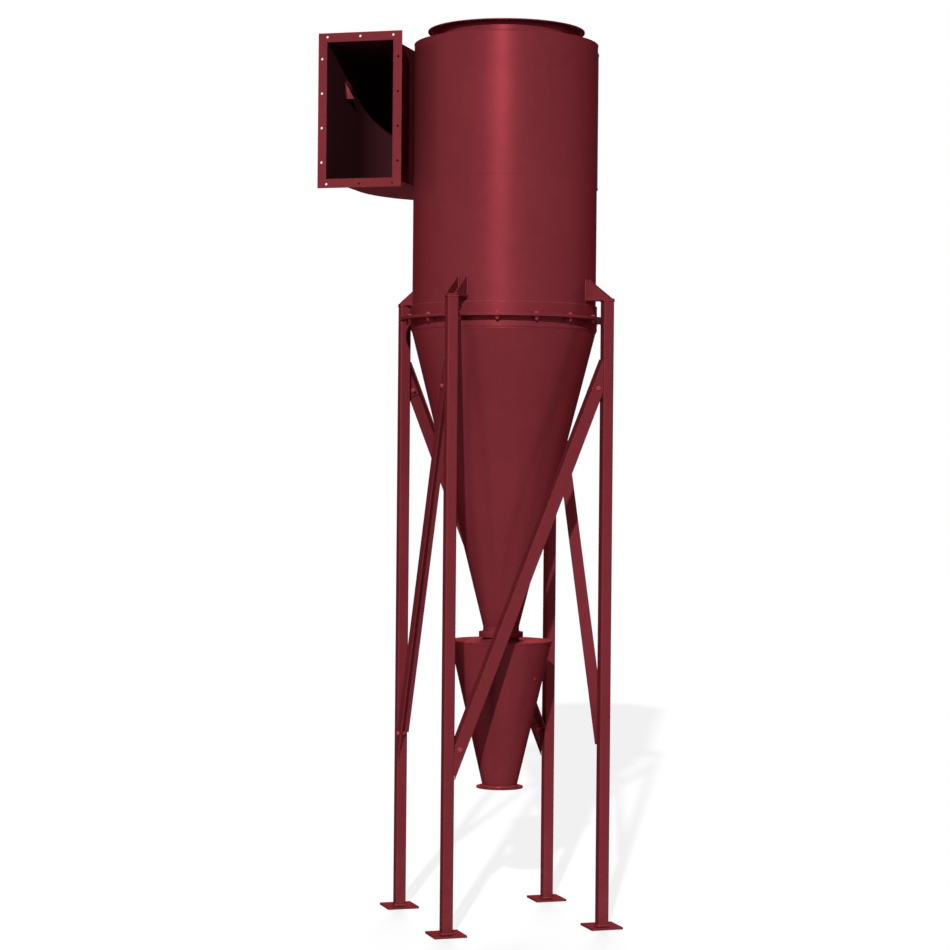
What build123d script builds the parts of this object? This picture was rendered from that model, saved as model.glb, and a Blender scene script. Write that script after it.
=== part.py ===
from build123d import *
import os
from math import atan2, cos, hypot, radians, sin, sqrt

# Sheet-steel cyclone separator with a scroll inlet, a dust hopper and a four-legged stand, in millimetres.
# The origin is on the vertical axis at floor level. +Z is up, and gas enters the inlet along +Y.

# Heights, stacked from the floor up
discharge_clearance = 610
hopper_height = 690
cover_thickness = 5
neck_height = 28
cone_height = 1478
barrel_height = 1287
roof_thickness = 4
outlet_rise = 64

# Barrel, cone and hopper sheet
sheet = 3
barrel_radius = 432
cone_collar_height = 60
cone_spigot_height = 38
neck_radius = 85
hopper_top_radius = 240
hopper_bottom_radius = 83
hopper_spigot_height = 18
cover_overhang = 4

# Gas outlet at the top
annulus_width = 108
outlet_drop = 757
outlet_angle_leg = 45
outlet_angle_thickness = 5
outlet_hole_count = 12
outlet_hole_gauge = 26
outlet_hole_radius = 6

# Scroll inlet: a straight duct beside the barrel, then a wall that closes on the barrel
inlet_width = 320
inlet_height = 632
inlet_drop = 17
inlet_reach = 390
inlet_lead = 120
scroll_end_angle = 22.5
inlet_angle_leg = 40
inlet_angle_thickness = 4
inlet_hole_pitch = 160
inlet_hole_gauge = 22
inlet_hole_radius = 5.5
inlet_rail_holes = 3
inlet_stile_holes = 4

# Bolted angle rings between barrel and cone
ring_leg = 55
ring_thickness = 6
barrel_ring_height = 58
cone_ring_height = 52
ring_hole_count = 16
ring_hole_gauge = 28
ring_hole_radius = 7

# Small flanges of the cone, the hopper neck and the hopper
neck_flange_width = 19
neck_flange_thickness = 12
hopper_flange_width = 27
hopper_flange_thickness = 8
hopper_hole_count = 6
hopper_hole_gauge = 14
hopper_hole_radius = 5.5

# Stand: the legs stand on a square that is turned from the inlet's direction
leg_gap = 45
stand_turn = 33.75
leg_tube = 51
leg_wall = 5
leg_corner = 7
foot_size = 152
foot_thickness = 10
anchor_offset = 51
anchor_hole_radius = 8

# Lugs that hang the barrel on the legs
lug_clearance = 21
lug_width = 60
lug_thickness = 10
lug_overhang = 2
lug_nose = 12
gusset_height = 92
gusset_tip_height = 4
gusset_thickness = 6
gusset_spread = 51
gusset_setback = 1

# Diagonal angle braces, one on each side of the stand
brace_leg = 57
brace_thickness = 6
brace_low_level = 840
brace_high_level = 2484
brace_bolt_offset = 50
brace_end_gap = 1
brace_hole_radius = 7
tab_thickness = 8
tab_width = 40
tab_tail = 25

# How far every cutter runs past the face that it cuts
overrun = 5

# Levels that follow from the stack
cover_bottom = discharge_clearance + hopper_height
cover_top = cover_bottom + cover_thickness
neck_joint = cover_top + neck_height
barrel_joint = neck_joint + cone_height
roof_bottom = barrel_joint + barrel_height
roof_top = roof_bottom + roof_thickness
outlet_top = roof_top + outlet_rise
inlet_roof = roof_bottom - inlet_drop
inlet_floor = inlet_roof - inlet_height
lug_bottom = barrel_joint + barrel_ring_height + lug_clearance
lug_top = lug_bottom + lug_thickness

# The outlet tube leaves an even gas annulus inside the barrel
outlet_radius = barrel_radius - annulus_width

# Places of the inlet duct, seen from above
duct_inner_x = -(barrel_radius + sheet)
duct_outer_x = duct_inner_x - inlet_width
duct_middle_x = (duct_inner_x + duct_outer_x) / 2
duct_middle_z = (inlet_floor + inlet_roof) / 2
flange_y = -inlet_reach

# The scroll's arc is tangent to the duct's outer wall and meets the barrel at the end angle
scroll_end_x = barrel_radius * cos(radians(scroll_end_angle))
scroll_end_y = barrel_radius * sin(radians(scroll_end_angle))
scroll_span = scroll_end_x - duct_outer_x
scroll_radius = (scroll_span**2 + (scroll_end_y - inlet_lead) ** 2) / (2 * scroll_span)
scroll_centre = (duct_outer_x + scroll_radius, inlet_lead)

# Places of the stand: each leg's middle stands a gap outside the joint rings
leg_radius = barrel_radius + ring_leg + leg_gap
leg_offset = leg_radius / sqrt(2)
leg_names = ["right", "front", "left", "back"]
side_names = ["front_right", "front_left", "back_left", "back_right"]
quarter_turn = 90
lug_point = leg_radius + leg_tube / sqrt(2) + lug_overhang * sqrt(2)

nodes = {}


def spun(points):
    """A solid of revolution about the vertical axis from (radius, height) points."""
    return revolve(Plane.XZ * make_face(Polyline(*points, close=True)), Axis.Z)


def hole_ring(count, circle_radius, hole_radius, bottom, top):
    """Upright cutters on a bolt circle that straddle the X and Y axes."""
    cutter = Pos(0, 0, bottom - overrun) * extrude(Circle(hole_radius), top - bottom + 2 * overrun)
    step = 360 / count
    return [Rot(0, 0, (index + 0.5) * step) * Pos(circle_radius, 0, 0) * cutter for index in range(count)]


def drum(radius, bottom, top):
    """A plain upright cylinder between two levels."""
    return Pos(0, 0, bottom) * extrude(Circle(radius), top - bottom)


def tube(outer_radius, inner_radius, bottom, top):
    """An upright pipe between two levels."""
    return Pos(0, 0, bottom) * extrude(Circle(outer_radius) - Circle(inner_radius), top - bottom)


def block(x_range, y_range, z_range):
    """A box between two corners."""
    size = [high - low for low, high in (x_range, y_range, z_range)]
    middle = [(high + low) / 2 for low, high in (x_range, y_range, z_range)]
    return Pos(*middle) * Box(*size)


def scroll_plan(offset):
    """Everything inside the duct's and scroll's outer wall face, pushed out by an offset."""
    wall_x = duct_outer_x - offset
    radius = scroll_radius + offset
    inner_x = -barrel_radius
    mouth_inner = (inner_x, flange_y)
    mouth_outer = (wall_x, flange_y)
    bend = (wall_x, inlet_lead)
    arc_end = (scroll_centre[0] + radius, inlet_lead)
    wall_run = Line(mouth_outer, bend)
    wall_arc = CenterArc(scroll_centre, radius, 0, 180)
    close_run = Polyline(arc_end, (0, 0), (inner_x, 0), mouth_inner, mouth_outer)
    return make_face(wall_run + wall_arc + close_run)


def scroll_slab(offset, bottom, top):
    """The scroll's plan as a slab, cut clear of the barrel."""
    slab = Pos(0, 0, bottom) * extrude(scroll_plan(offset), top - bottom)
    return slab - drum(barrel_radius, bottom - overrun, top + overrun)


# Barrel in two courses, the upper one with the scroll's window
nodes["barrel_shell"] = tube(barrel_radius, barrel_radius - sheet, barrel_joint, inlet_floor)
upper_course = tube(barrel_radius, barrel_radius - sheet, inlet_floor, roof_bottom)
window_profile = Polyline(
    (barrel_radius - sheet - overrun, inlet_floor - overrun),
    (barrel_radius + overrun, inlet_floor - overrun),
    (barrel_radius + overrun, inlet_roof),
    (barrel_radius - sheet - overrun, inlet_roof),
    close=True,
)
window_face = Plane.XZ * make_face(window_profile)
window = Rot(0, 0, scroll_end_angle) * revolve(window_face, Axis.Z, 180 - scroll_end_angle)
nodes["barrel_head"] = upper_course - window
nodes["roof_plate"] = tube(barrel_radius, outlet_radius, roof_bottom, roof_top)

# Outlet tube, which hangs down inside the barrel, and its angle ring
nodes["outlet_tube"] = tube(outlet_radius, outlet_radius - sheet, roof_top - outlet_drop, outlet_top)
outlet_ring = spun(
    [
        (outlet_radius, outlet_top - outlet_angle_leg),
        (outlet_radius + outlet_angle_thickness, outlet_top - outlet_angle_leg),
        (outlet_radius + outlet_angle_thickness, outlet_top - outlet_angle_thickness),
        (outlet_radius + outlet_angle_leg, outlet_top - outlet_angle_thickness),
        (outlet_radius + outlet_angle_leg, outlet_top),
        (outlet_radius, outlet_top),
    ]
)
nodes["outlet_flange"] = outlet_ring - hole_ring(
    outlet_hole_count,
    outlet_radius + outlet_hole_gauge,
    outlet_hole_radius,
    outlet_top - outlet_angle_thickness,
    outlet_top,
)

# Scroll inlet: walls stand between the floor and roof plates
nodes["scroll_outer_wall"] = scroll_slab(sheet, inlet_floor, inlet_roof) - scroll_slab(0, inlet_floor, inlet_roof)
nodes["scroll_inner_wall"] = block(
    (duct_inner_x, duct_inner_x + sheet), (flange_y, 0), (inlet_floor, inlet_roof)
)
nodes["scroll_floor"] = scroll_slab(sheet, inlet_floor - sheet, inlet_floor)
nodes["scroll_roof"] = scroll_slab(sheet, inlet_roof, inlet_roof + sheet)


def inlet_frame(margin, depth):
    """A rectangular frame round the duct's outside, from the flange face back."""
    half_width = inlet_width / 2 + sheet
    half_height = inlet_height / 2 + sheet
    outer = Rectangle(2 * (half_width + margin), 2 * (half_height + margin))
    inner = Rectangle(2 * half_width, 2 * half_height)
    mouth = Plane((duct_middle_x, flange_y, duct_middle_z), x_dir=(1, 0, 0), z_dir=(0, -1, 0))
    return mouth * extrude(outer - inner, -depth)


def inlet_holes():
    """Bolt holes of the inlet's angle frame, along both rails and both stiles."""
    rail_z = inlet_height / 2 + sheet + inlet_hole_gauge
    stile_x = inlet_width / 2 + sheet + inlet_hole_gauge
    places = []
    for index in range(inlet_rail_holes):
        along = (index - (inlet_rail_holes - 1) / 2) * inlet_hole_pitch
        places += [(along, rail_z), (along, -rail_z)]
    for index in range(inlet_stile_holes):
        along = (index - (inlet_stile_holes - 1) / 2) * inlet_hole_pitch
        places += [(stile_x, along), (-stile_x, along)]
    mouth = Plane((duct_middle_x, flange_y, duct_middle_z), x_dir=(1, 0, 0), z_dir=(0, -1, 0))
    cutter = Pos(0, 0, -inlet_angle_thickness - overrun) * extrude(
        Circle(inlet_hole_radius), inlet_angle_thickness + 2 * overrun
    )
    return [mouth * Pos(x, z, 0) * cutter for x, z in places]


inlet_face_leg = inlet_frame(inlet_angle_leg, inlet_angle_thickness)
inlet_back_leg = inlet_frame(inlet_angle_thickness, inlet_angle_leg)
nodes["inlet_flange"] = inlet_face_leg + inlet_back_leg - inlet_holes()


def joint_ring(height, side):
    """An angle ring on the barrel joint, its standing leg above (side 1) or below (side -1)."""
    ring = spun(
        [
            (barrel_radius, barrel_joint),
            (barrel_radius + ring_leg, barrel_joint),
            (barrel_radius + ring_leg, barrel_joint + side * ring_thickness),
            (barrel_radius + ring_thickness, barrel_joint + side * ring_thickness),
            (barrel_radius + ring_thickness, barrel_joint + side * height),
            (barrel_radius, barrel_joint + side * height),
        ]
    )
    return ring - hole_ring(
        ring_hole_count,
        barrel_radius + ring_hole_gauge,
        ring_hole_radius,
        barrel_joint - ring_thickness,
        barrel_joint + ring_thickness,
    )


nodes["barrel_ring"] = joint_ring(barrel_ring_height, 1)
nodes["cone_ring"] = joint_ring(cone_ring_height, -1)

# Cone with its collar at the joint and its spigot at the bottom
cone_top = barrel_joint - cone_collar_height
cone_bottom = neck_joint + cone_spigot_height
cone_outline = [
    (barrel_radius, barrel_joint),
    (barrel_radius, cone_top),
    (neck_radius, cone_bottom),
    (neck_radius, neck_joint),
]
cone_inline = [(radius - sheet, height) for radius, height in reversed(cone_outline)]
nodes["cone_shell"] = spun(cone_outline + cone_inline)
neck_flange_radius = neck_radius + neck_flange_width
nodes["cone_flange"] = tube(neck_flange_radius, neck_radius, neck_joint, neck_joint + neck_flange_thickness)

# Hopper: neck, cover, tapered shell and discharge flange
nodes["hopper_neck"] = tube(neck_radius, neck_radius - sheet, cover_top, neck_joint)
nodes["hopper_neck_flange"] = tube(
    neck_flange_radius, neck_radius, neck_joint - neck_flange_thickness, neck_joint
)
cover_radius = hopper_top_radius + cover_overhang
nodes["hopper_cover"] = tube(cover_radius, neck_radius - sheet, cover_bottom, cover_top)
hopper_outline = [
    (hopper_top_radius, cover_bottom),
    (hopper_bottom_radius, discharge_clearance + hopper_spigot_height),
    (hopper_bottom_radius, discharge_clearance),
]
hopper_inline = [(radius - sheet, height) for radius, height in reversed(hopper_outline)]
nodes["hopper_shell"] = spun(hopper_outline + hopper_inline)
discharge_ring = tube(
    hopper_bottom_radius + hopper_flange_width,
    hopper_bottom_radius,
    discharge_clearance,
    discharge_clearance + hopper_flange_thickness,
)
nodes["hopper_flange"] = discharge_ring - hole_ring(
    hopper_hole_count,
    hopper_bottom_radius + hopper_hole_gauge,
    hopper_hole_radius,
    discharge_clearance,
    discharge_clearance + hopper_flange_thickness,
)


def leg():
    """A square tube leg at the square's corner between +X and -Y."""
    outside = RectangleRounded(leg_tube, leg_tube, leg_corner)
    inside = RectangleRounded(leg_tube - 2 * leg_wall, leg_tube - 2 * leg_wall, leg_corner - leg_wall)
    return Pos(leg_offset, -leg_offset, foot_thickness) * extrude(outside - inside, lug_bottom - foot_thickness)


def foot_plate():
    """The leg's square foot, with anchor holes in its outer and inner corners."""
    plate = Rectangle(foot_size, foot_size)
    for side in (1, -1):
        plate -= Pos(side * anchor_offset, -side * anchor_offset) * Circle(anchor_hole_radius)
    return Pos(leg_offset, -leg_offset, 0) * extrude(plate, foot_thickness)


def lug_plate():
    """The level plate from the barrel to the leg, along +X, its end trimmed along the leg's faces."""
    root = barrel_radius - lug_width
    outline = Polyline(
        (root, -lug_width / 2),
        (lug_point - lug_width / 2, -lug_width / 2),
        (lug_point - lug_nose / 2, -lug_nose / 2),
        (lug_point - lug_nose / 2, lug_nose / 2),
        (lug_point - lug_width / 2, lug_width / 2),
        (root, lug_width / 2),
        close=True,
    )
    plate = Pos(0, 0, lug_bottom) * extrude(make_face(outline), lug_thickness)
    return plate - drum(barrel_radius, lug_bottom - overrun, lug_top + overrun)


def lug_gussets():
    """The pair of upright gussets between the barrel and the lug plate, along +X."""
    root = barrel_radius - lug_width
    tip = lug_point - gusset_spread / 2 - gusset_setback
    outline = Polyline(
        (root, lug_top),
        (tip, lug_top),
        (tip, lug_top + gusset_tip_height),
        (barrel_radius, lug_top + gusset_height),
        (root, lug_top + gusset_height),
        close=True,
    )
    web = extrude(Plane.XZ * make_face(outline), gusset_thickness / 2, both=True)
    barrel_cut = drum(barrel_radius, lug_top - overrun, lug_top + gusset_height + overrun)
    shift = (gusset_spread - gusset_thickness) / 2
    return Compound([(Pos(0, side * shift, 0) * web - barrel_cut).solid() for side in (1, -1)])


# The brace's line on the stand's -Y side rises from the leg at -X to the leg at +X
bolt_x = leg_offset - brace_bolt_offset
bolt_rise = (brace_high_level - brace_low_level) / 2
brace_middle_level = (brace_low_level + brace_high_level) / 2
brace_lean = atan2(bolt_x, bolt_rise)
bolt_reach = hypot(bolt_x, bolt_rise)
brace_reach = (leg_offset + brace_leg) / sin(brace_lean)
side_face_y = -(leg_offset + leg_tube / 2)
leg_face_x = leg_offset - leg_tube / 2

# On the brace's plane x points to its upper edge, y out of the stand and z up along the brace
brace_plane = Plane(
    (0, side_face_y, brace_middle_level),
    x_dir=(-cos(brace_lean), 0, sin(brace_lean)),
    z_dir=(sin(brace_lean), 0, cos(brace_lean)),
)


def between_legs(gap):
    """The space between the two legs of the -Y side, less a gap at each."""
    half = leg_face_x - gap
    deep = brace_leg + overrun
    return block((-half, half), (side_face_y - deep, side_face_y + deep), (0, lug_bottom))


def brace_holes():
    """Level cutters through the brace and its tabs at both bolts."""
    deep = brace_thickness + tab_thickness + overrun
    cutter = extrude(Plane.XZ * Circle(brace_hole_radius), deep, both=True)
    return [
        Pos(-bolt_x, side_face_y, brace_low_level) * cutter,
        Pos(bolt_x, side_face_y, brace_high_level) * cutter,
    ]


def brace():
    """An angle brace: one leg flat on the side's plane, the other along its upper edge, pointing in."""
    edge = brace_leg / 2
    profile = Polyline(
        (-edge, 0),
        (edge, 0),
        (edge, -brace_leg),
        (edge - brace_thickness, -brace_leg),
        (edge - brace_thickness, -brace_thickness),
        (-edge, -brace_thickness),
        close=True,
    )
    bar = brace_plane * extrude(make_face(profile), brace_reach, both=True)
    return (bar & between_legs(brace_end_gap)) - brace_holes()


def brace_tabs():
    """The two flat tabs welded to the legs' sides, behind the brace's ends."""
    flat = Pos(0, -brace_thickness - tab_thickness / 2) * Rectangle(tab_width, tab_thickness)
    start = bolt_reach - tab_tail
    upper = brace_plane * Pos(0, 0, start) * extrude(flat, brace_reach - start)
    lower = brace_plane * Pos(0, 0, -brace_reach) * extrude(flat, brace_reach - start)
    limits = between_legs(0)
    return Compound([((bar & limits) - brace_holes()).solid() for bar in (upper, lower)])


# Four legs, feet, lugs and braces, a quarter turn apart
corner_angle = quarter_turn / 2
for index, name in enumerate(leg_names):
    turn = stand_turn - index * quarter_turn
    nodes["leg_" + name] = Rot(0, 0, turn) * leg()
    nodes["foot_plate_" + name] = Rot(0, 0, turn) * foot_plate()
    nodes["lug_plate_" + name] = Rot(0, 0, turn - corner_angle) * lug_plate()
    nodes["lug_gussets_" + name] = Rot(0, 0, turn - corner_angle) * lug_gussets()
for index, name in enumerate(side_names):
    turn = stand_turn - index * quarter_turn
    nodes["brace_" + name] = Rot(0, 0, turn) * brace()
    nodes["brace_tabs_" + name] = Rot(0, 0, turn) * brace_tabs()

os.makedirs("parts", exist_ok=True)
for name, solid in nodes.items():
    export_step(solid, f"parts/{name}.step")
print(len(nodes), "nodes, top at", outlet_top)
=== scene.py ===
import math

import bmesh
import bpy
from mathutils import Matrix, Quaternion, Vector


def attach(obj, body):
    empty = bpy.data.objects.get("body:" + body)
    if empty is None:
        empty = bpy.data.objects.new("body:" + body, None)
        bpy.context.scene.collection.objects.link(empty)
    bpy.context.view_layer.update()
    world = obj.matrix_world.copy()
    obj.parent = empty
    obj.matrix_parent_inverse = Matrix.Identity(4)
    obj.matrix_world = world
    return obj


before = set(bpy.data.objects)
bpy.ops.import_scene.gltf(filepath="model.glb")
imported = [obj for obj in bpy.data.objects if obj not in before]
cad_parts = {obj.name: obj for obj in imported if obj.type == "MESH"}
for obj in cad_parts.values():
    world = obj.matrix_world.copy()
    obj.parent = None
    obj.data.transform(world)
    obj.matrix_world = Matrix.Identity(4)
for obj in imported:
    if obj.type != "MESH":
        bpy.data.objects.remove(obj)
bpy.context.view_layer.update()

print("cyclone: solids loaded,", len(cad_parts), "nodes")

# all lengths are metres, the floor is at zero and the barrel stands on the z axis
mm = 0.001
quarterTurn = math.radians(90)

# places that several pieces share, as in the part's source
shell = {
    "barrelRadius": 432 * mm,
    "outletRadius": 324 * mm,
    "neckRadius": 85 * mm,
    "hopperTopRadius": 240 * mm,
    "hopperFootRadius": 83 * mm,
    "sheet": 3 * mm,
    "jointLevel": 2811 * mm,
    "roofTop": 4102 * mm,
    "inletFloor": 3449 * mm,
    "inletRoof": 4081 * mm,
    "coverTop": 1305 * mm,
    "neckJoint": 1333 * mm,
    "ductOuterX": -755 * mm,
    "inletLead": 120 * mm,
    "scrollRadius": 577.88 * mm,
    "scrollEndAngle": 22.5,
}
shell["scrollCentre"] = (shell["ductOuterX"] + shell["scrollRadius"], shell["inletLead"])
stand = {
    "turn": math.radians(33.75),
    "legCount": 4,
    "legOffset": 532 * mm / math.sqrt(2),
    "legTube": 51 * mm,
    "legCorner": 7 * mm,
    "footTop": 10 * mm,
    "lugBottom": 2890 * mm,
    "lugTop": 2900 * mm,
}


# selecting and tidying, as by hand
def clearSelection():
    if bpy.context.mode != "OBJECT":
        bpy.ops.object.mode_set(mode="OBJECT")
    bpy.ops.object.select_all(action="DESELECT")


def makeActive(piece):
    clearSelection()
    piece.select_set(True)
    bpy.context.view_layer.objects.active = piece


def editPiece(piece):
    makeActive(piece)
    bpy.ops.object.mode_set(mode="EDIT")


def pickFaces(piece, test):
    bpy.ops.mesh.select_mode(type="FACE")
    bpy.ops.mesh.select_all(action="DESELECT")
    mesh = bmesh.from_edit_mesh(piece.data)
    for face in mesh.faces:
        face.select_set(bool(test(face.calc_center_median(), face.normal)))
    bmesh.update_edit_mesh(piece.data)


def pickEdges(piece, test):
    bpy.ops.mesh.select_mode(type="EDGE")
    bpy.ops.mesh.select_all(action="DESELECT")
    mesh = bmesh.from_edit_mesh(piece.data)
    for edge in mesh.edges:
        a, b = edge.verts
        edge.select_set(bool(test((a.co + b.co) / 2, b.co - a.co)))
    bmesh.update_edit_mesh(piece.data)


def pickVerts(piece, test):
    bpy.ops.mesh.select_mode(type="VERT")
    bpy.ops.mesh.select_all(action="DESELECT")
    mesh = bmesh.from_edit_mesh(piece.data)
    for vert in mesh.verts:
        vert.select_set(bool(test(vert.co)))
    bmesh.update_edit_mesh(piece.data)


def leaveEdit():
    bpy.ops.object.mode_set(mode="OBJECT")


def settle(piece):
    makeActive(piece)
    bpy.ops.object.transform_apply(location=True, rotation=True, scale=True)
    return piece


def joinAll(pieces, name):
    clearSelection()
    for piece in pieces:
        piece.select_set(True)
    bpy.context.view_layer.objects.active = pieces[0]
    if len(pieces) > 1:
        bpy.ops.object.join()
    joined = bpy.context.object
    joined.name = name
    joined.data.name = name
    return settle(joined)


def copyTo(model, places):
    twins = []
    for place in places:
        twin = model.copy()
        twin.data = model.data.copy()
        bpy.context.collection.objects.link(twin)
        twin.matrix_world = place @ model.matrix_world
        twins.append(twin)
    bpy.data.objects.remove(model)
    return twins


def dress(piece, material, smoothAngle=35):
    makeActive(piece)
    bpy.ops.object.shade_smooth_by_angle(angle=math.radians(smoothAngle))
    piece.data.materials.clear()
    piece.data.materials.append(material)
    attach(piece, "root")
    return piece


# turns about the upright axis, and turns that point z along a way
def turned(angle):
    return Matrix.Rotation(angle, 4, "Z")


def facing(way):
    return way.to_track_quat("Z", "Y").to_matrix().to_4x4()


def sideTurns():
    return [turned(stand["turn"] - index * quarterTurn) for index in range(stand["legCount"])]


# shader maths: a wire is one output socket, and sums on wires add nodes
class Wire:
    def __init__(self, tree, socket=None):
        self.tree = tree
        self.socket = socket

    def node(self, kind, settings=None, sockets=None, out=0):
        made = self.tree.nodes.new(kind)
        for key, value in (settings or {}).items():
            setattr(made, key, value)
        for key, value in (sockets or {}).items():
            if isinstance(value, Wire):
                self.tree.links.new(value.socket, made.inputs[key])
            else:
                made.inputs[key].default_value = value
        return Wire(self.tree, made.outputs[out])

    def sum(self, operation, first, second):
        return self.node("ShaderNodeMath", {"operation": operation}, {0: first, 1: second})

    def __add__(self, other):
        return self.sum("ADD", self, other)

    def __radd__(self, other):
        return self.sum("ADD", other, self)

    def __sub__(self, other):
        return self.sum("SUBTRACT", self, other)

    def __rsub__(self, other):
        return self.sum("SUBTRACT", other, self)

    def __mul__(self, other):
        return self.sum("MULTIPLY", self, other)

    def __rmul__(self, other):
        return self.sum("MULTIPLY", other, self)

    def __lt__(self, other):
        return self.sum("LESS_THAN", self, other)

    def __gt__(self, other):
        return self.sum("GREATER_THAN", self, other)

    def axis(self, index):
        return self.node("ShaderNodeSeparateXYZ", {}, {0: self}, out=index)

    def vector(self, operation, other=(0.0, 0.0, 0.0), out="Vector"):
        return self.node("ShaderNodeVectorMath", {"operation": operation}, {0: self, 1: other}, out=out)

    def noise(self, scale, detail, rough=0.5):
        sockets = {"Vector": self, "Scale": scale, "Detail": detail, "Roughness": rough}
        return self.node("ShaderNodeTexNoise", {}, sockets)

    def ramp(self, low, high):
        sockets = {"Value": self, "From Min": low, "From Max": high}
        return self.node("ShaderNodeMapRange", {"clamp": True}, sockets)

    # a Mix node takes its two colours at sockets 6 and 7 and gives one at output 2
    def blend(self, first, second):
        settings = {"data_type": "RGBA", "blend_type": "MIX"}
        return self.node("ShaderNodeMix", settings, {0: self, 6: first, 7: second}, out=2)

    def tinted(self, tint):
        settings = {"data_type": "RGBA", "blend_type": "MULTIPLY"}
        return self.node("ShaderNodeMix", settings, {0: 1.0, 6: self, 7: tint}, out=2)

    def bump(self, strength, depth, normal):
        sockets = {"Strength": strength, "Distance": depth, "Height": self, "Normal": normal}
        return self.node("ShaderNodeBump", {}, sockets)


def newMaterial(name):
    material = bpy.data.materials.new(name)
    material.use_nodes = True
    tree = material.node_tree
    return material, Wire(tree), tree.nodes["Principled BSDF"]


def plug(wire, shader, socket):
    wire.tree.links.new(wire.socket, shader.inputs[socket])


# the dark red satin paint over everything; a noise is scale, detail and roughness, a bump strength and depth
redPaint = {
    "colour": (0.190, 0.0260, 0.0340, 1.0),
    "faded": (0.214, 0.0325, 0.0412, 1.0),
    "deep": (0.166, 0.0220, 0.0290, 1.0),
    "paintedTopLight": (0.325, 0.0490, 0.0600, 1.0),
    "wornAndHighlit": (0.340, 0.0500, 0.0620, 1.0),
    "dust": (0.275, 0.110, 0.106, 1.0),
    "flake": 0.25,
    "rimTint": (0.25, 0.04, 0.05, 1.0),
    "roughLow": 0.31,
    "roughSpread": 0.09,
    "dustRough": 0.6,
    "patchNoise": (1.7, 3.0),
    "patchRange": (0.32, 0.70),
    "mottleNoise": (21.0, 4.0, 0.6),
    "fadedRange": (0.45, 0.85),
    "fadedShare": 0.35,
    "runStretch": (24.0, 24.0, 0.9),
    "runNoise": (1.0, 2.0),
    "runRange": (0.52, 0.80),
    "runShare": 0.16,
    "edgeRound": 2.5 * mm,
    "edgeSamples": 4,
    "edgeRange": (0.02, 0.22),
    "wornAndHighlitRange": (0.25, 0.60),
    "wornAndHighlitShare": 0.75,
    "upRange": (0.55, 1.0),
    "topLightLevels": (20 * mm, 100 * mm),
    "topLightShare": 0.85,
    "topDustRange": (0.40, 0.80),
    "topDustShare": 0.14,
    "lowDustLevels": (0.0, 450 * mm),
    "lowDustRange": (0.35, 0.75),
    "lowDustShare": 0.12,
    "waveNoise": (3.1, 1.0),
    "waveBump": (0.20, 10 * mm),
    "peelNoise": (240.0, 1.0),
    "peelBump": (0.10, 0.6 * mm),
}
# inside, the duct, the scroll and the barrel are painted dark and dull as painted shade
insideShade = {
    "colour": (0.066, 0.0165, 0.0215, 1.0),
    "addedRough": 0.32,
    "nodes": ("scroll_outer_wall", "scroll_inner_wall", "scroll_floor", "scroll_roof",
              "barrel_shell", "barrel_head", "roof_plate", "outlet_tube"),
}


def insideMask(wire, coords):
    half = shell["sheet"] / 2
    x, y, z = (coords.axis(index) for index in range(3))
    plan = coords.vector("MULTIPLY", (1.0, 1.0, 0.0))
    fromAxis = plan.vector("LENGTH", out="Value")
    fromScroll = plan.vector("DISTANCE", (*shell["scrollCentre"], 0.0), out="Value")
    inHeight = (z > shell["inletFloor"] - half) * (z < shell["inletRoof"] + half)
    acrossDuct = (x > shell["ductOuterX"] - half) * (x < -shell["barrelRadius"] - half)
    duct = acrossDuct * (y < shell["inletLead"]) * inHeight
    curl = (fromScroll < shell["scrollRadius"] + half) * (y > shell["inletLead"]) * inHeight
    barrel = (fromAxis < shell["barrelRadius"] - half) * (z < shell["roofTop"] - half)
    outlet = fromAxis < shell["outletRadius"] - half
    return wire.sum("MINIMUM", duct + curl + barrel + outlet, 1.0)


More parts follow.
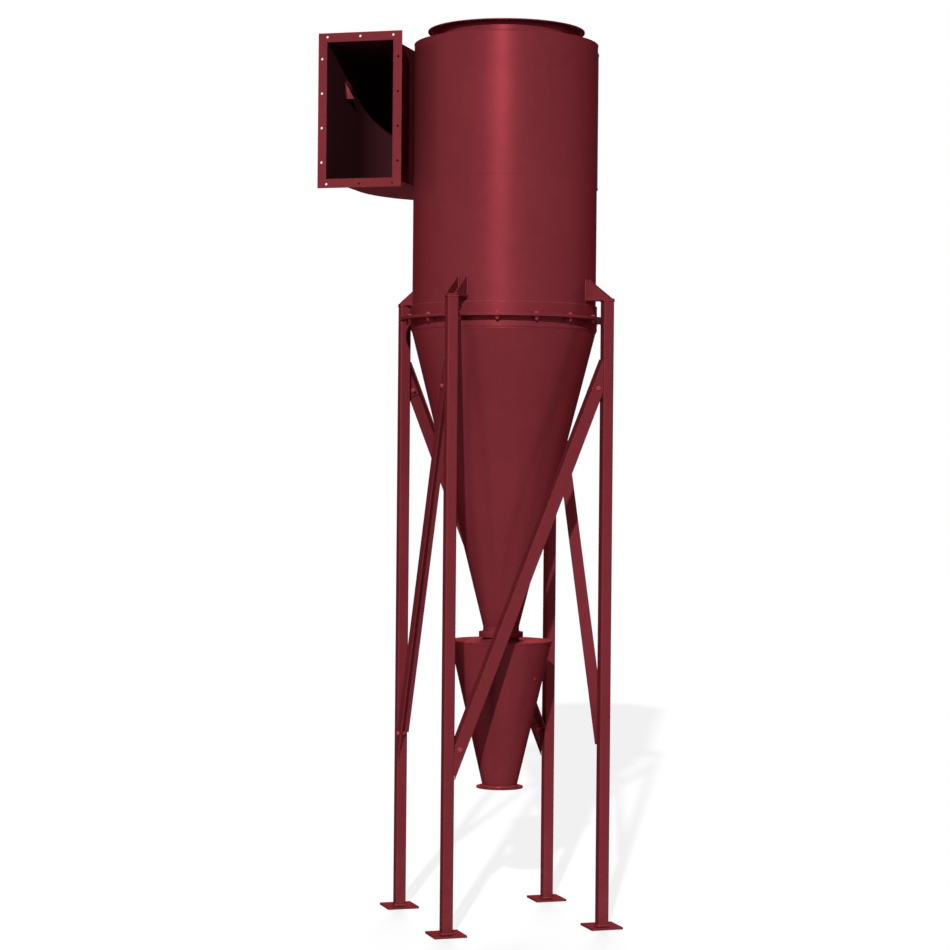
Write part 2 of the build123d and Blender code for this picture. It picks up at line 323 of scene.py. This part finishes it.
def makeRedPaint(name, tone=1.0, gloss=0.0, shadeInside=False):
    material, wire, shader = newMaterial(name)
    coords = wire.node("ShaderNodeTexCoord", out="Object")
    normal = wire.node("ShaderNodeNewGeometry", out="Normal")
    height = coords.axis(2)
    stretched = wire.node("ShaderNodeMapping", {}, {"Vector": coords, "Scale": redPaint["runStretch"]})
    patches = coords.noise(*redPaint["patchNoise"]).ramp(*redPaint["patchRange"])
    mottle = coords.noise(*redPaint["mottleNoise"])
    runs = stretched.noise(*redPaint["runNoise"]).ramp(*redPaint["runRange"])
    # edges are where the rounded normal leaves the face's own; they are painted lighter, partly as wear and
    # partly as painted highlight
    rounded = wire.node("ShaderNodeBevel", {"samples": redPaint["edgeSamples"]},
                        {"Radius": redPaint["edgeRound"]})
    alike = rounded.vector("DOT_PRODUCT", normal, out="Value")
    wornAndHighlit = (1.0 - alike).ramp(*redPaint["edgeRange"]) * mottle.ramp(*redPaint["wornAndHighlitRange"])
    # what faces up above the feet is painted lighter as painted top light and is a little dusty, and a band
    # just above the floor is dusty
    top = normal.axis(2).ramp(*redPaint["upRange"]) * height.ramp(*redPaint["topLightLevels"])
    low = 1.0 - height.ramp(*redPaint["lowDustLevels"])
    topDust = top * mottle.ramp(*redPaint["topDustRange"]) * redPaint["topDustShare"]
    lowDust = low * mottle.ramp(*redPaint["lowDustRange"]) * redPaint["lowDustShare"]
    dusty = topDust + lowDust
    colour = patches.blend(redPaint["deep"], redPaint["colour"])
    faded = mottle.ramp(*redPaint["fadedRange"]) * redPaint["fadedShare"]
    colour = faded.blend(colour, redPaint["faded"])
    colour = (runs * redPaint["runShare"]).blend(colour, redPaint["deep"])
    colour = (top * redPaint["topLightShare"]).blend(colour, redPaint["paintedTopLight"])
    colour = (wornAndHighlit * redPaint["wornAndHighlitShare"]).blend(colour, redPaint["wornAndHighlit"])
    colour = dusty.blend(colour, redPaint["dust"])
    if tone != 1.0:
        colour = colour.tinted((tone, tone, tone, 1.0))
    rough = redPaint["roughLow"] + gloss + mottle * redPaint["roughSpread"] + dusty * redPaint["dustRough"]
    shader.inputs["Metallic"].default_value = redPaint["flake"]
    if shadeInside:
        # painted shade: faces inside the duct, scroll, barrel and outlet get a dark colour and no flake
        inside = insideMask(wire, coords)
        colour = inside.blend(colour, insideShade["colour"])
        rough = rough + inside * insideShade["addedRough"]
        plug((1.0 - inside) * redPaint["flake"], shader, "Metallic")
    plug(colour, shader, "Base Color")
    plug(rough, shader, "Roughness")
    # the sheet is a little wavy, and the paint has a fine peel
    wavy = coords.noise(*redPaint["waveNoise"]).bump(*redPaint["waveBump"], rounded)
    peeled = coords.noise(*redPaint["peelNoise"]).bump(*redPaint["peelBump"], wavy)
    plug(peeled, shader, "Normal")
    shader.inputs["Specular IOR Level"].default_value = 0.0
    shader.inputs["Specular Tint"].default_value = redPaint["rimTint"]
    return material


sheetPaint = makeRedPaint("sheetPaint")
insideShadePaint = makeRedPaint("insideShadePaint", shadeInside=True)
for name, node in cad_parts.items():
    node.data.materials.clear()
    node.data.materials.append(insideShadePaint if name in insideShade["nodes"] else sheetPaint)
print("cyclone: paint on", len(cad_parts), "solids")

# hexagon bolts with washers and nuts, painted over with the rest in a lighter red that is painted highlight
bolt = {
    "flats": 18 * mm,
    "headHeight": 7.5 * mm,
    "nutHeight": 10 * mm,
    "washerRadius": 12 * mm,
    "washerThickness": 2.5 * mm,
    "washerChamfer": 0.44 * mm,
    "shankRadius": 6 * mm,
    "threadOut": 5 * mm,
    "chamfer": 1.1 * mm,
    "chamferSteps": 2,
    "hexSides": 6,
    "roundSides": 24,
    "shankSides": 16,
    "twist": math.radians(37),
    "ringCount": 16,
    "ringCircle": 460 * mm,
    "ringGrip": 12 * mm,
    "ringSeat": shell["jointLevel"] + 6 * mm,
    "highlightTone": 1.95,
    "braceOffset": 50 * mm,
    "braceGrip": 14 * mm,
    "braceLow": 840 * mm,
    "braceHigh": 2484 * mm,
}


def turnedBar(sides, radius, low, high, chamfer, bothEnds):
    flatRise = 1e-6  # an edge that rises less than this lies flat
    middleZ = (low + high) / 2
    clearSelection()
    bpy.ops.mesh.primitive_cylinder_add(vertices=sides, radius=radius, depth=high - low,
                                        location=(0, 0, middleZ))
    bar = settle(bpy.context.object)
    editPiece(bar)
    pickEdges(bar, lambda middle, run: abs(run.z) < flatRise and (bothEnds or middle.z > middleZ))
    bpy.ops.mesh.bevel(offset=chamfer, segments=bolt["chamferSteps"], affect="EDGES")
    leaveEdit()
    return bar


def makeBolt(grip):
    washer = bolt["washerThickness"]
    corner = bolt["flats"] / math.sqrt(3)
    nutHigh = -grip - washer
    nutLow = nutHigh - bolt["nutHeight"]
    shankLow = nutLow - bolt["threadOut"]
    hexSides, roundSides = bolt["hexSides"], bolt["roundSides"]
    parts = [
        turnedBar(hexSides, corner, washer, washer + bolt["headHeight"], bolt["chamfer"], False),
        turnedBar(roundSides, bolt["washerRadius"], 0, washer, bolt["washerChamfer"], False),
        turnedBar(roundSides, bolt["washerRadius"], nutHigh, -grip, bolt["washerChamfer"], True),
        turnedBar(hexSides, corner, nutLow, nutHigh, bolt["chamfer"], True),
        turnedBar(bolt["shankSides"], bolt["shankRadius"], shankLow, 0, bolt["chamfer"], True),
    ]
    return joinAll(parts, "boltModel")


def ringBoltPlaces():
    step = 2 * math.pi / bolt["ringCount"]
    seat = Matrix.Translation((bolt["ringCircle"], 0, bolt["ringSeat"]))
    return [turned((index + 0.5) * step) @ seat @ turned(index * bolt["twist"])
            for index in range(bolt["ringCount"])]


def braceBoltPlaces():
    faceY = -(stand["legOffset"] + stand["legTube"] / 2)
    boltX = stand["legOffset"] - bolt["braceOffset"]
    outward = Matrix.Rotation(quarterTurn, 4, "X")
    places = []
    for side in sideTurns():
        for x, level in ((-boltX, bolt["braceLow"]), (boltX, bolt["braceHigh"])):
            seat = Matrix.Translation((x, faceY, level))
            places.append(side @ seat @ outward @ turned(len(places) * bolt["twist"]))
    return places


def makeBolts(name, grip, places):
    print("cyclone:", name, len(places))
    return dress(joinAll(copyTo(makeBolt(grip), places), name), boltPaint)


# painted highlight: the bolts' red is made lighter by the tone
boltPaint = makeRedPaint("boltPaint", bolt["highlightTone"])
makeBolts("ringBolts", bolt["ringGrip"], ringBoltPlaces())
makeBolts("braceBolts", bolt["braceGrip"], braceBoltPlaces())

# a screwed plug in the side of the hopper
hopperPlug = {
    "angle": math.radians(-23.4),
    "level": 1131.6 * mm,
    "radius": 201.2 * mm,
    "slope": 0.234,
    "collar": 9 * mm,
    "collarHeight": 3 * mm,
    "flats": 12 * mm,
    "headHeight": 5 * mm,
    "chamfer": 0.7 * mm,
    "sink": 3 * mm,
}


def makeHopperPlug():
    collarTop = hopperPlug["collarHeight"]
    headTop = collarTop + hopperPlug["headHeight"]
    corner = hopperPlug["flats"] / math.sqrt(3)
    chamfer = hopperPlug["chamfer"]
    parts = [
        turnedBar(bolt["roundSides"], hopperPlug["collar"], -hopperPlug["sink"], collarTop, chamfer, False),
        turnedBar(bolt["hexSides"], corner, collarTop, headTop, chamfer, False),
    ]
    piece = joinAll(parts, "hopperPlug")
    seat = Matrix.Translation((hopperPlug["radius"], 0, hopperPlug["level"]))
    outward = facing(Vector((1.0, 0.0, -hopperPlug["slope"])))
    piece.matrix_world = turned(hopperPlug["angle"]) @ seat @ outward
    return dress(settle(piece), sheetPaint)


makeHopperPlug()
print("cyclone: plug in the hopper")

# weld beads: a run or a path of edges with a round section, then rippled
bead = {
    "pitch": 5 * mm,
    "roundness": 2,
    "runSides": 8,
    "fewestSteps": 48,
    "fewestCuts": 2,
    "cornerSteps": 4,
    "capNormal": 0.9,
    "taperShare": 0.55,
    "ripple": 1.4 * mm,
    "rippleScale": 7 * mm,
    "rippleMiddle": 0.5,
    "smoothAngle": 60,
    "fine": 2.2 * mm,
    "plain": 3.0 * mm,
    "heavy": 4.4 * mm,
    "foot": 6.5 * mm,
    "highlightTone": 1.3,
    "gloss": -0.02,
}
# painted highlight: the beads' red is made lighter by the tone, for the glint along their tops
weldPaint = makeRedPaint("weldPaint", bead["highlightTone"], bead["gloss"])
rippleTexture = bpy.data.textures.new("beadRipple", type="CLOUDS")
rippleTexture.noise_scale = bead["rippleScale"]


def thicken(path, size):
    makeActive(path)
    bpy.ops.object.convert(target="CURVE")
    path = bpy.context.object
    path.data.bevel_depth = size
    path.data.bevel_resolution = bead["roundness"]
    path.data.use_fill_caps = True
    bpy.ops.object.convert(target="MESH")
    return settle(bpy.context.object)


def beadRing(radius, level, size, keep=None, centre=(0, 0)):
    clearSelection()
    steps = max(bead["fewestSteps"], int(2 * math.pi * radius / bead["pitch"]))
    bpy.ops.mesh.primitive_circle_add(vertices=steps, radius=radius, location=(*centre, level))
    path = settle(bpy.context.object)
    if keep:
        editPiece(path)
        pickVerts(path, lambda spot: not keep(spot))
        bpy.ops.mesh.delete(type="VERT")
        leaveEdit()
    return thicken(path, size)


def beadRun(start, end, size):
    start, end = Vector(start), Vector(end)
    along = end - start
    clearSelection()
    bpy.ops.mesh.primitive_cylinder_add(vertices=bead["runSides"], radius=size, depth=along.length)
    run = bpy.context.object
    editPiece(run)
    pickEdges(run, lambda middle, way: abs(way.z) > along.length / 2)
    bpy.ops.mesh.subdivide(number_cuts=max(bead["fewestCuts"], int(along.length / bead["pitch"])))
    pickFaces(run, lambda middle, normal: abs(normal.z) > bead["capNormal"])
    bpy.ops.transform.resize(value=(bead["taperShare"], bead["taperShare"], 1.0))
    leaveEdit()
    run.matrix_world = Matrix.Translation((start + end) / 2) @ facing(along)
    return settle(run)


def beadSquare(centre, width, corner, size, place):
    clearSelection()
    bpy.ops.mesh.primitive_plane_add(size=width, location=centre)
    path = settle(bpy.context.object)
    editPiece(path)
    bpy.ops.mesh.select_all(action="SELECT")
    bpy.ops.mesh.bevel(offset=corner, segments=bead["cornerSteps"], affect="VERTICES")
    bpy.ops.mesh.delete(type="ONLY_FACE")
    pickEdges(path, lambda middle, way: way.length > width / 2)
    bpy.ops.mesh.subdivide(number_cuts=int(width / bead["pitch"]))
    leaveEdit()
    path.matrix_world = place
    return thicken(path, size)


def finishBeads(runs, name):
    welds = joinAll(runs, name)
    ripple = welds.modifiers.new("ripple", type="DISPLACE")
    ripple.texture = rippleTexture
    ripple.texture_coords = "LOCAL"
    ripple.strength = bead["ripple"]
    ripple.mid_level = bead["rippleMiddle"]
    makeActive(welds)
    bpy.ops.object.modifier_apply(modifier="ripple")
    return dress(welds, weldPaint, bead["smoothAngle"])


# rings of weld on the barrel and its joint
barrelWeld = {
    "tuck": 1.4 * mm,
    "roofEdge": 4100 * mm,
    "ringTop": shell["jointLevel"] + 58 * mm,
    "ringFoot": shell["jointLevel"] - 52 * mm,
    "coneTop": shell["jointLevel"] - 60 * mm,
}


def makeBarrelWelds():
    tuck = barrelWeld["tuck"]
    wall = shell["barrelRadius"]
    return finishBeads([
        beadRing(shell["outletRadius"] + tuck, shell["roofTop"] + tuck, bead["plain"]),
        beadRing(wall - tuck / 2, barrelWeld["roofEdge"], bead["fine"]),
        beadRing(wall + 2 * tuck, barrelWeld["ringTop"] + tuck, bead["heavy"]),
        beadRing(wall + tuck, barrelWeld["ringFoot"] - tuck, bead["plain"]),
        beadRing(wall - tuck / 2, barrelWeld["coneTop"], bead["fine"]),
    ], "barrelWelds")


# welds along the scroll's floor, roof and walls
scroll = {
    "angleBack": -350 * mm,
    "tuck": 1.2 * mm,
}


def makeScrollWelds():
    tuck = scroll["tuck"]
    sheet = shell["sheet"]
    wall = shell["barrelRadius"]
    lead = shell["inletLead"]
    outerX = shell["ductOuterX"] - sheet
    under = shell["inletFloor"] - sheet
    over = shell["inletRoof"] + sheet
    endAngle = math.radians(shell["scrollEndAngle"])
    endX, endY = wall * math.cos(endAngle), wall * math.sin(endAngle)

    def behind(spot):
        return spot.y > 0 and math.atan2(spot.y, spot.x) > endAngle

    def aroundCurl(spot):
        return spot.y > lead and spot.to_2d().length > wall + sheet

    curlRadius = shell["scrollRadius"] + sheet
    runs = []
    for level, turnOut in ((under, -tuck), (over, tuck)):
        edge = level - turnOut
        runs.append(beadRing(wall + tuck, level + turnOut, bead["plain"], behind))
        runs.append(beadRing(curlRadius, edge, bead["fine"], aroundCurl, shell["scrollCentre"]))
        runs.append(beadRun((outerX, scroll["angleBack"], edge), (outerX, lead, edge), bead["fine"]))
    runs.append(beadRun((endX, endY, under), (endX, endY, over), bead["fine"]))
    # round the duct behind the angle frame
    backY = scroll["angleBack"] + tuck
    left, right = outerX - tuck, -wall + tuck
    corners = [(x, backY, z) for x, z in ((left, under - tuck), (right, under - tuck),
                                          (right, over + tuck), (left, over + tuck))]
    for start, end in zip(corners, corners[1:] + corners[:1]):
        runs.append(beadRun(start, end, bead["plain"]))
    return finishBeads(runs, "scrollWelds")


# rings of weld round the neck and the hopper
neckWeld = {
    "flangeThickness": 12 * mm,
    "hopperTop": 1300 * mm,
    "flangeTop": 618 * mm,
    "tuck": 1.2 * mm,
}


def makeNeckWelds():
    tuck = neckWeld["tuck"]
    neck = shell["neckRadius"] + tuck
    flange = neckWeld["flangeThickness"] + tuck
    return finishBeads([
        beadRing(neck, shell["neckJoint"] + flange, bead["plain"]),
        beadRing(neck, shell["neckJoint"] - flange, bead["plain"]),
        beadRing(neck, shell["coverTop"] + tuck, bead["plain"]),
        beadRing(shell["hopperTopRadius"] + tuck, neckWeld["hopperTop"] - tuck, bead["fine"]),
        beadRing(shell["hopperFootRadius"] + tuck, neckWeld["flangeTop"] + tuck, bead["foot"]),
    ], "neckWelds")


# upright seams where each rolled sheet closes, on the back
seam = {
    "angle": math.radians(100),
    "size": 2.2 * mm,
    "sink": 0.9 * mm,
    "barrelFoot": shell["jointLevel"] + 59 * mm,
    "barrelHead": shell["inletFloor"] - 4 * mm,
    "coneHead": shell["jointLevel"] - 61 * mm,
    "coneFoot": shell["neckJoint"] + 39 * mm,
    "hopperHead": shell["coverTop"] - 6 * mm,
    "hopperFoot": neckWeld["flangeTop"] + 11 * mm,
}


def makeSeams():
    wall = shell["barrelRadius"]
    stretches = [
        ((wall, seam["barrelFoot"]), (wall, seam["barrelHead"])),
        ((wall, seam["coneHead"]), (shell["neckRadius"], seam["coneFoot"])),
        ((shell["hopperTopRadius"], seam["hopperHead"]), (shell["hopperFootRadius"], seam["hopperFoot"])),
    ]
    turn = turned(seam["angle"])
    runs = []
    for stretch in stretches:
        start, end = (turn @ Vector((radius - seam["sink"], 0, level)) for radius, level in stretch)
        runs.append(beadRun(start, end, seam["size"]))
    return finishBeads(runs, "sheetSeams")


# welds of the stand: feet, leg tops, lugs and brace tabs
lug = {
    "gussetFace": 25.5 * mm,
    "gussetInner": 19.5 * mm,
    "gussetTop": 2990 * mm,
    "plateHalf": 30 * mm,
    "tip": 544 * mm,
    "tuck": 1.3 * mm,
}
tab = {
    "outerY": 6 * mm,
    "innerY": 14 * mm,
    "halfRun": 50 * mm,
    "lowWeld": 778.3 * mm,
    "highWeld": 2545.7 * mm,
    "tuck": 1.0 * mm,
}


def makeLugWelds():
    tuck = lug["tuck"]
    wall = shell["barrelRadius"]
    top = stand["lugTop"]
    half = lug["plateHalf"]
    runs = []
    for side in (1, -1):
        for face, push in ((lug["gussetFace"], tuck), (lug["gussetInner"], -tuck)):
            y = side * (face + push)
            rootX = math.sqrt(wall**2 - y**2) + tuck
            runs.append(beadRun((rootX, y, top), (rootX, y, lug["gussetTop"]), bead["plain"]))
            runs.append(beadRun((rootX, y, top + tuck), (lug["tip"], y, top + tuck), bead["plain"]))
    for level in (stand["lugBottom"] - tuck, top + tuck):
        rootX = math.sqrt(wall**2 - half**2) + tuck
        runs.append(beadRun((rootX, -half, level), (rootX, half, level), bead["plain"]))
    return joinAll(runs, "lugWeldModel")


def makeTabWelds():
    tuck, half = tab["tuck"], tab["halfRun"]
    faceY = -(stand["legOffset"] + stand["legTube"] / 2)
    legX = stand["legOffset"] - stand["legTube"] / 2
    runs = []
    for side, level in ((-1, tab["lowWeld"]), (1, tab["highWeld"])):
        for y in (faceY + tab["outerY"] - tuck, faceY + tab["innerY"] + tuck):
            x = side * (legX - tuck)
            runs.append(beadRun((x, y, level - half), (x, y, level + half), bead["plain"]))
    return joinAll(runs, "tabWeldModel")


def makeStandWelds():
    lugTurn = turned(-quarterTurn / 2)
    runs = copyTo(makeLugWelds(), [turn @ lugTurn for turn in sideTurns()])
    runs += copyTo(makeTabWelds(), sideTurns())
    tuck = lug["tuck"]
    width = stand["legTube"] + 2 * tuck
    ends = ((stand["footTop"] + tuck, bead["foot"]), (stand["lugBottom"] - tuck, bead["plain"]))
    for turn in sideTurns():
        for level, size in ends:
            centre = (stand["legOffset"], -stand["legOffset"], level)
            runs.append(beadSquare(centre, width, stand["legCorner"], size, turn))
    return finishBeads(runs, "standWelds")


for makeWelds in (makeBarrelWelds, makeScrollWelds, makeNeckWelds, makeSeams, makeStandWelds):
    welds = makeWelds()
    print("cyclone:", welds.name, len(welds.data.polygons), "faces")

# a blank plate on the duct's outer wall, just inside the inlet
tag = {
    "length": 180 * mm,
    "height": 80 * mm,
    "ear": (20 * mm, 62 * mm, -44 * mm),
    "thickness": 1.2 * mm,
    "edge": 0.4 * mm,
    "edgeSteps": 2,
    "lean": math.radians(13.8),
    "place": (shell["ductOuterX"], -37 * mm, 3920 * mm),
    "painted": (0.150, 0.0240, 0.0310, 1.0),
    "back": (0.66, 0.105, 0.130, 1.0),
    "soiled": (0.48, 0.078, 0.095, 1.0),
    "backFrom": 2 * mm,
    "backTo": 5 * mm,
    "stainNoise": (34.0, 4.0, 0.6),
    "stainRange": (0.42, 0.78),
    "roughLow": 0.45,
    "roughSpread": 0.3,
    "shine": 0.2,
}


def makeTagPaint():
    material, wire, shader = newMaterial("tagPaint")
    coords = wire.node("ShaderNodeTexCoord", out="Object")
    stain = coords.noise(*tag["stainNoise"])
    # the ear shows the plate's paler back, and the rest is painted with the wall
    wall = shell["ductOuterX"]
    lifted = coords.axis(0).ramp(wall + tag["backFrom"], wall + tag["backTo"])
    pale = stain.ramp(*tag["stainRange"]).blend(tag["back"], tag["soiled"])
    plug(lifted.blend(tag["painted"], pale), shader, "Base Color")
    plug(tag["roughLow"] + stain * tag["roughSpread"], shader, "Roughness")
    shader.inputs["Specular IOR Level"].default_value = tag["shine"]
    return material


def makeTag():
    # the plate lies on the wall, and its near end is folded back into a pointed ear
    clearSelection()
    bpy.ops.mesh.primitive_plane_add(size=1.0, rotation=(0, quarterTurn, 0))
    piece = bpy.context.object
    piece.scale = (tag["height"], tag["length"], 1.0)
    settle(piece)
    editPiece(piece)
    pickEdges(piece, lambda middle, way: middle.y < -tag["length"] / 4)
    bpy.ops.mesh.extrude_edges_move(TRANSFORM_OT_translate={"value": tag["ear"]})
    bpy.ops.mesh.merge(type="CENTER")
    bpy.ops.mesh.select_all(action="SELECT")
    bpy.ops.mesh.normals_make_consistent(inside=False)
    leaveEdit()
    body = piece.modifiers.new("body", type="SOLIDIFY")
    body.thickness = tag["thickness"]
    body.offset = 0.0
    edge = piece.modifiers.new("edge", type="BEVEL")
    edge.width = tag["edge"]
    edge.segments = tag["edgeSteps"]
    makeActive(piece)
    for step in ("body", "edge"):
        bpy.ops.object.modifier_apply(modifier=step)
    piece.matrix_world = Matrix.Translation(tag["place"]) @ Matrix.Rotation(tag["lean"], 4, "X")
    settle(piece)
    piece.name = "inletTag"
    piece.data.name = "inletTag"
    return dress(piece, makeTagPaint())


makeTag()
print("cyclone: tag in the inlet")

# studio: pale floor, a key lamp over the camera's left shoulder, a soft lamp behind and a low even fill
studio = {
    "floorSize": 60.0,
    "floorColour": (0.36, 0.36, 0.36, 1.0),
    "floorRough": 0.9,
    "floorGlow": 0.73,
    "keyPower": 3.14,
    "keyAngle": math.radians(1.2),
    "keyPlace": (0.0, -8.0, 8.0),
    "keyAzimuth": math.radians(9.3),
    "keyHeight": math.radians(22.5),
    "fill": 0.03,
    "backPower": 2.2,
    "backAngle": math.radians(22),
    "backPlace": (-2.6, 9.5, 8.5),
    "backAim": (0.0, 0.0, 2.0),
}


# rays by which the camera, gloss or glass sees the white surroundings
def seenRays(wire):
    kinds = ("Is Camera Ray", "Is Glossy Ray", "Is Transmission Ray")
    direct, mirrored, through = (wire.node("ShaderNodeLightPath", out=kind) for kind in kinds)
    return wire.sum("MINIMUM", direct + mirrored + through, 1.0)


def makeFloor():
    material, wire, shader = newMaterial("paleFloor")
    tree = material.node_tree
    shader.inputs["Base Color"].default_value = studio["floorColour"]
    shader.inputs["Roughness"].default_value = studio["floorRough"]
    shader.inputs["Specular IOR Level"].default_value = 0.0
    glow = wire.node("ShaderNodeEmission", {}, {"Strength": seenRays(wire) * studio["floorGlow"]})
    both = wire.node("ShaderNodeAddShader", {}, {0: Wire(tree, shader.outputs[0]), 1: glow})
    plug(both, tree.nodes["Material Output"], "Surface")
    clearSelection()
    bpy.ops.mesh.primitive_plane_add(size=studio["floorSize"], location=(0, 0, 0))
    floor = bpy.context.object
    floor.name = "floor"
    floor.data.materials.append(material)


def makeWorld():
    world = bpy.data.worlds.new("studioWorld")
    bpy.context.scene.world = world
    world.use_nodes = True
    tree = world.node_tree
    background = tree.nodes["Background"]
    background.inputs["Color"].default_value = (1.0, 1.0, 1.0, 1.0)
    strength = studio["fill"] + seenRays(Wire(tree)) * (1.0 - studio["fill"])
    plug(strength, background, "Strength")


# both lamps are suns, so only the way they face counts
def makeSun(name, power, angle, place, towards):
    clearSelection()
    bpy.ops.object.light_add(type="SUN", location=place)
    lamp = bpy.context.object
    lamp.name = name
    lamp.data.energy = power
    lamp.data.angle = angle
    lamp.rotation_euler = facing(towards).to_euler()


def makeKey():
    azimuth, height = studio["keyAzimuth"], studio["keyHeight"]
    level = math.cos(height)
    towards = Vector((math.sin(azimuth) * level, -math.cos(azimuth) * level, math.sin(height)))
    makeSun("keyLamp", studio["keyPower"], studio["keyAngle"], studio["keyPlace"], towards)


def makeBackLamp():
    towards = Vector(studio["backPlace"]) - Vector(studio["backAim"])
    makeSun("backLamp", studio["backPower"], studio["backAngle"], studio["backPlace"], towards)


makeFloor()
makeWorld()
makeKey()
makeBackLamp()
print("cyclone: floor, world and lamps ready")

# the camera stands where the photograph was taken from, 11.4 m off
view = {
    "place": (2.957, -11.012, 2.109),
    "heading": math.radians(15.68),
    "pitch": math.radians(90.0 - 0.142),
    "roll": math.radians(0.529),
    "lens": 91.7,
    "sensor": 36.0,
    "farthest": 200.0,
}
clearSelection()
bpy.ops.object.camera_add(location=view["place"])
camera = bpy.context.object
camera.rotation_mode = "QUATERNION"
aim = Quaternion((0, 0, 1), view["heading"]) @ Quaternion((1, 0, 0), view["pitch"])
camera.rotation_quaternion = aim @ Quaternion((0, 0, 1), view["roll"])
camera.data.lens = view["lens"]
camera.data.sensor_width = view["sensor"]
camera.data.clip_end = view["farthest"]
bpy.context.scene.camera = camera
bpy.context.scene.view_settings.view_transform = "Standard"
print("cyclone: camera set")
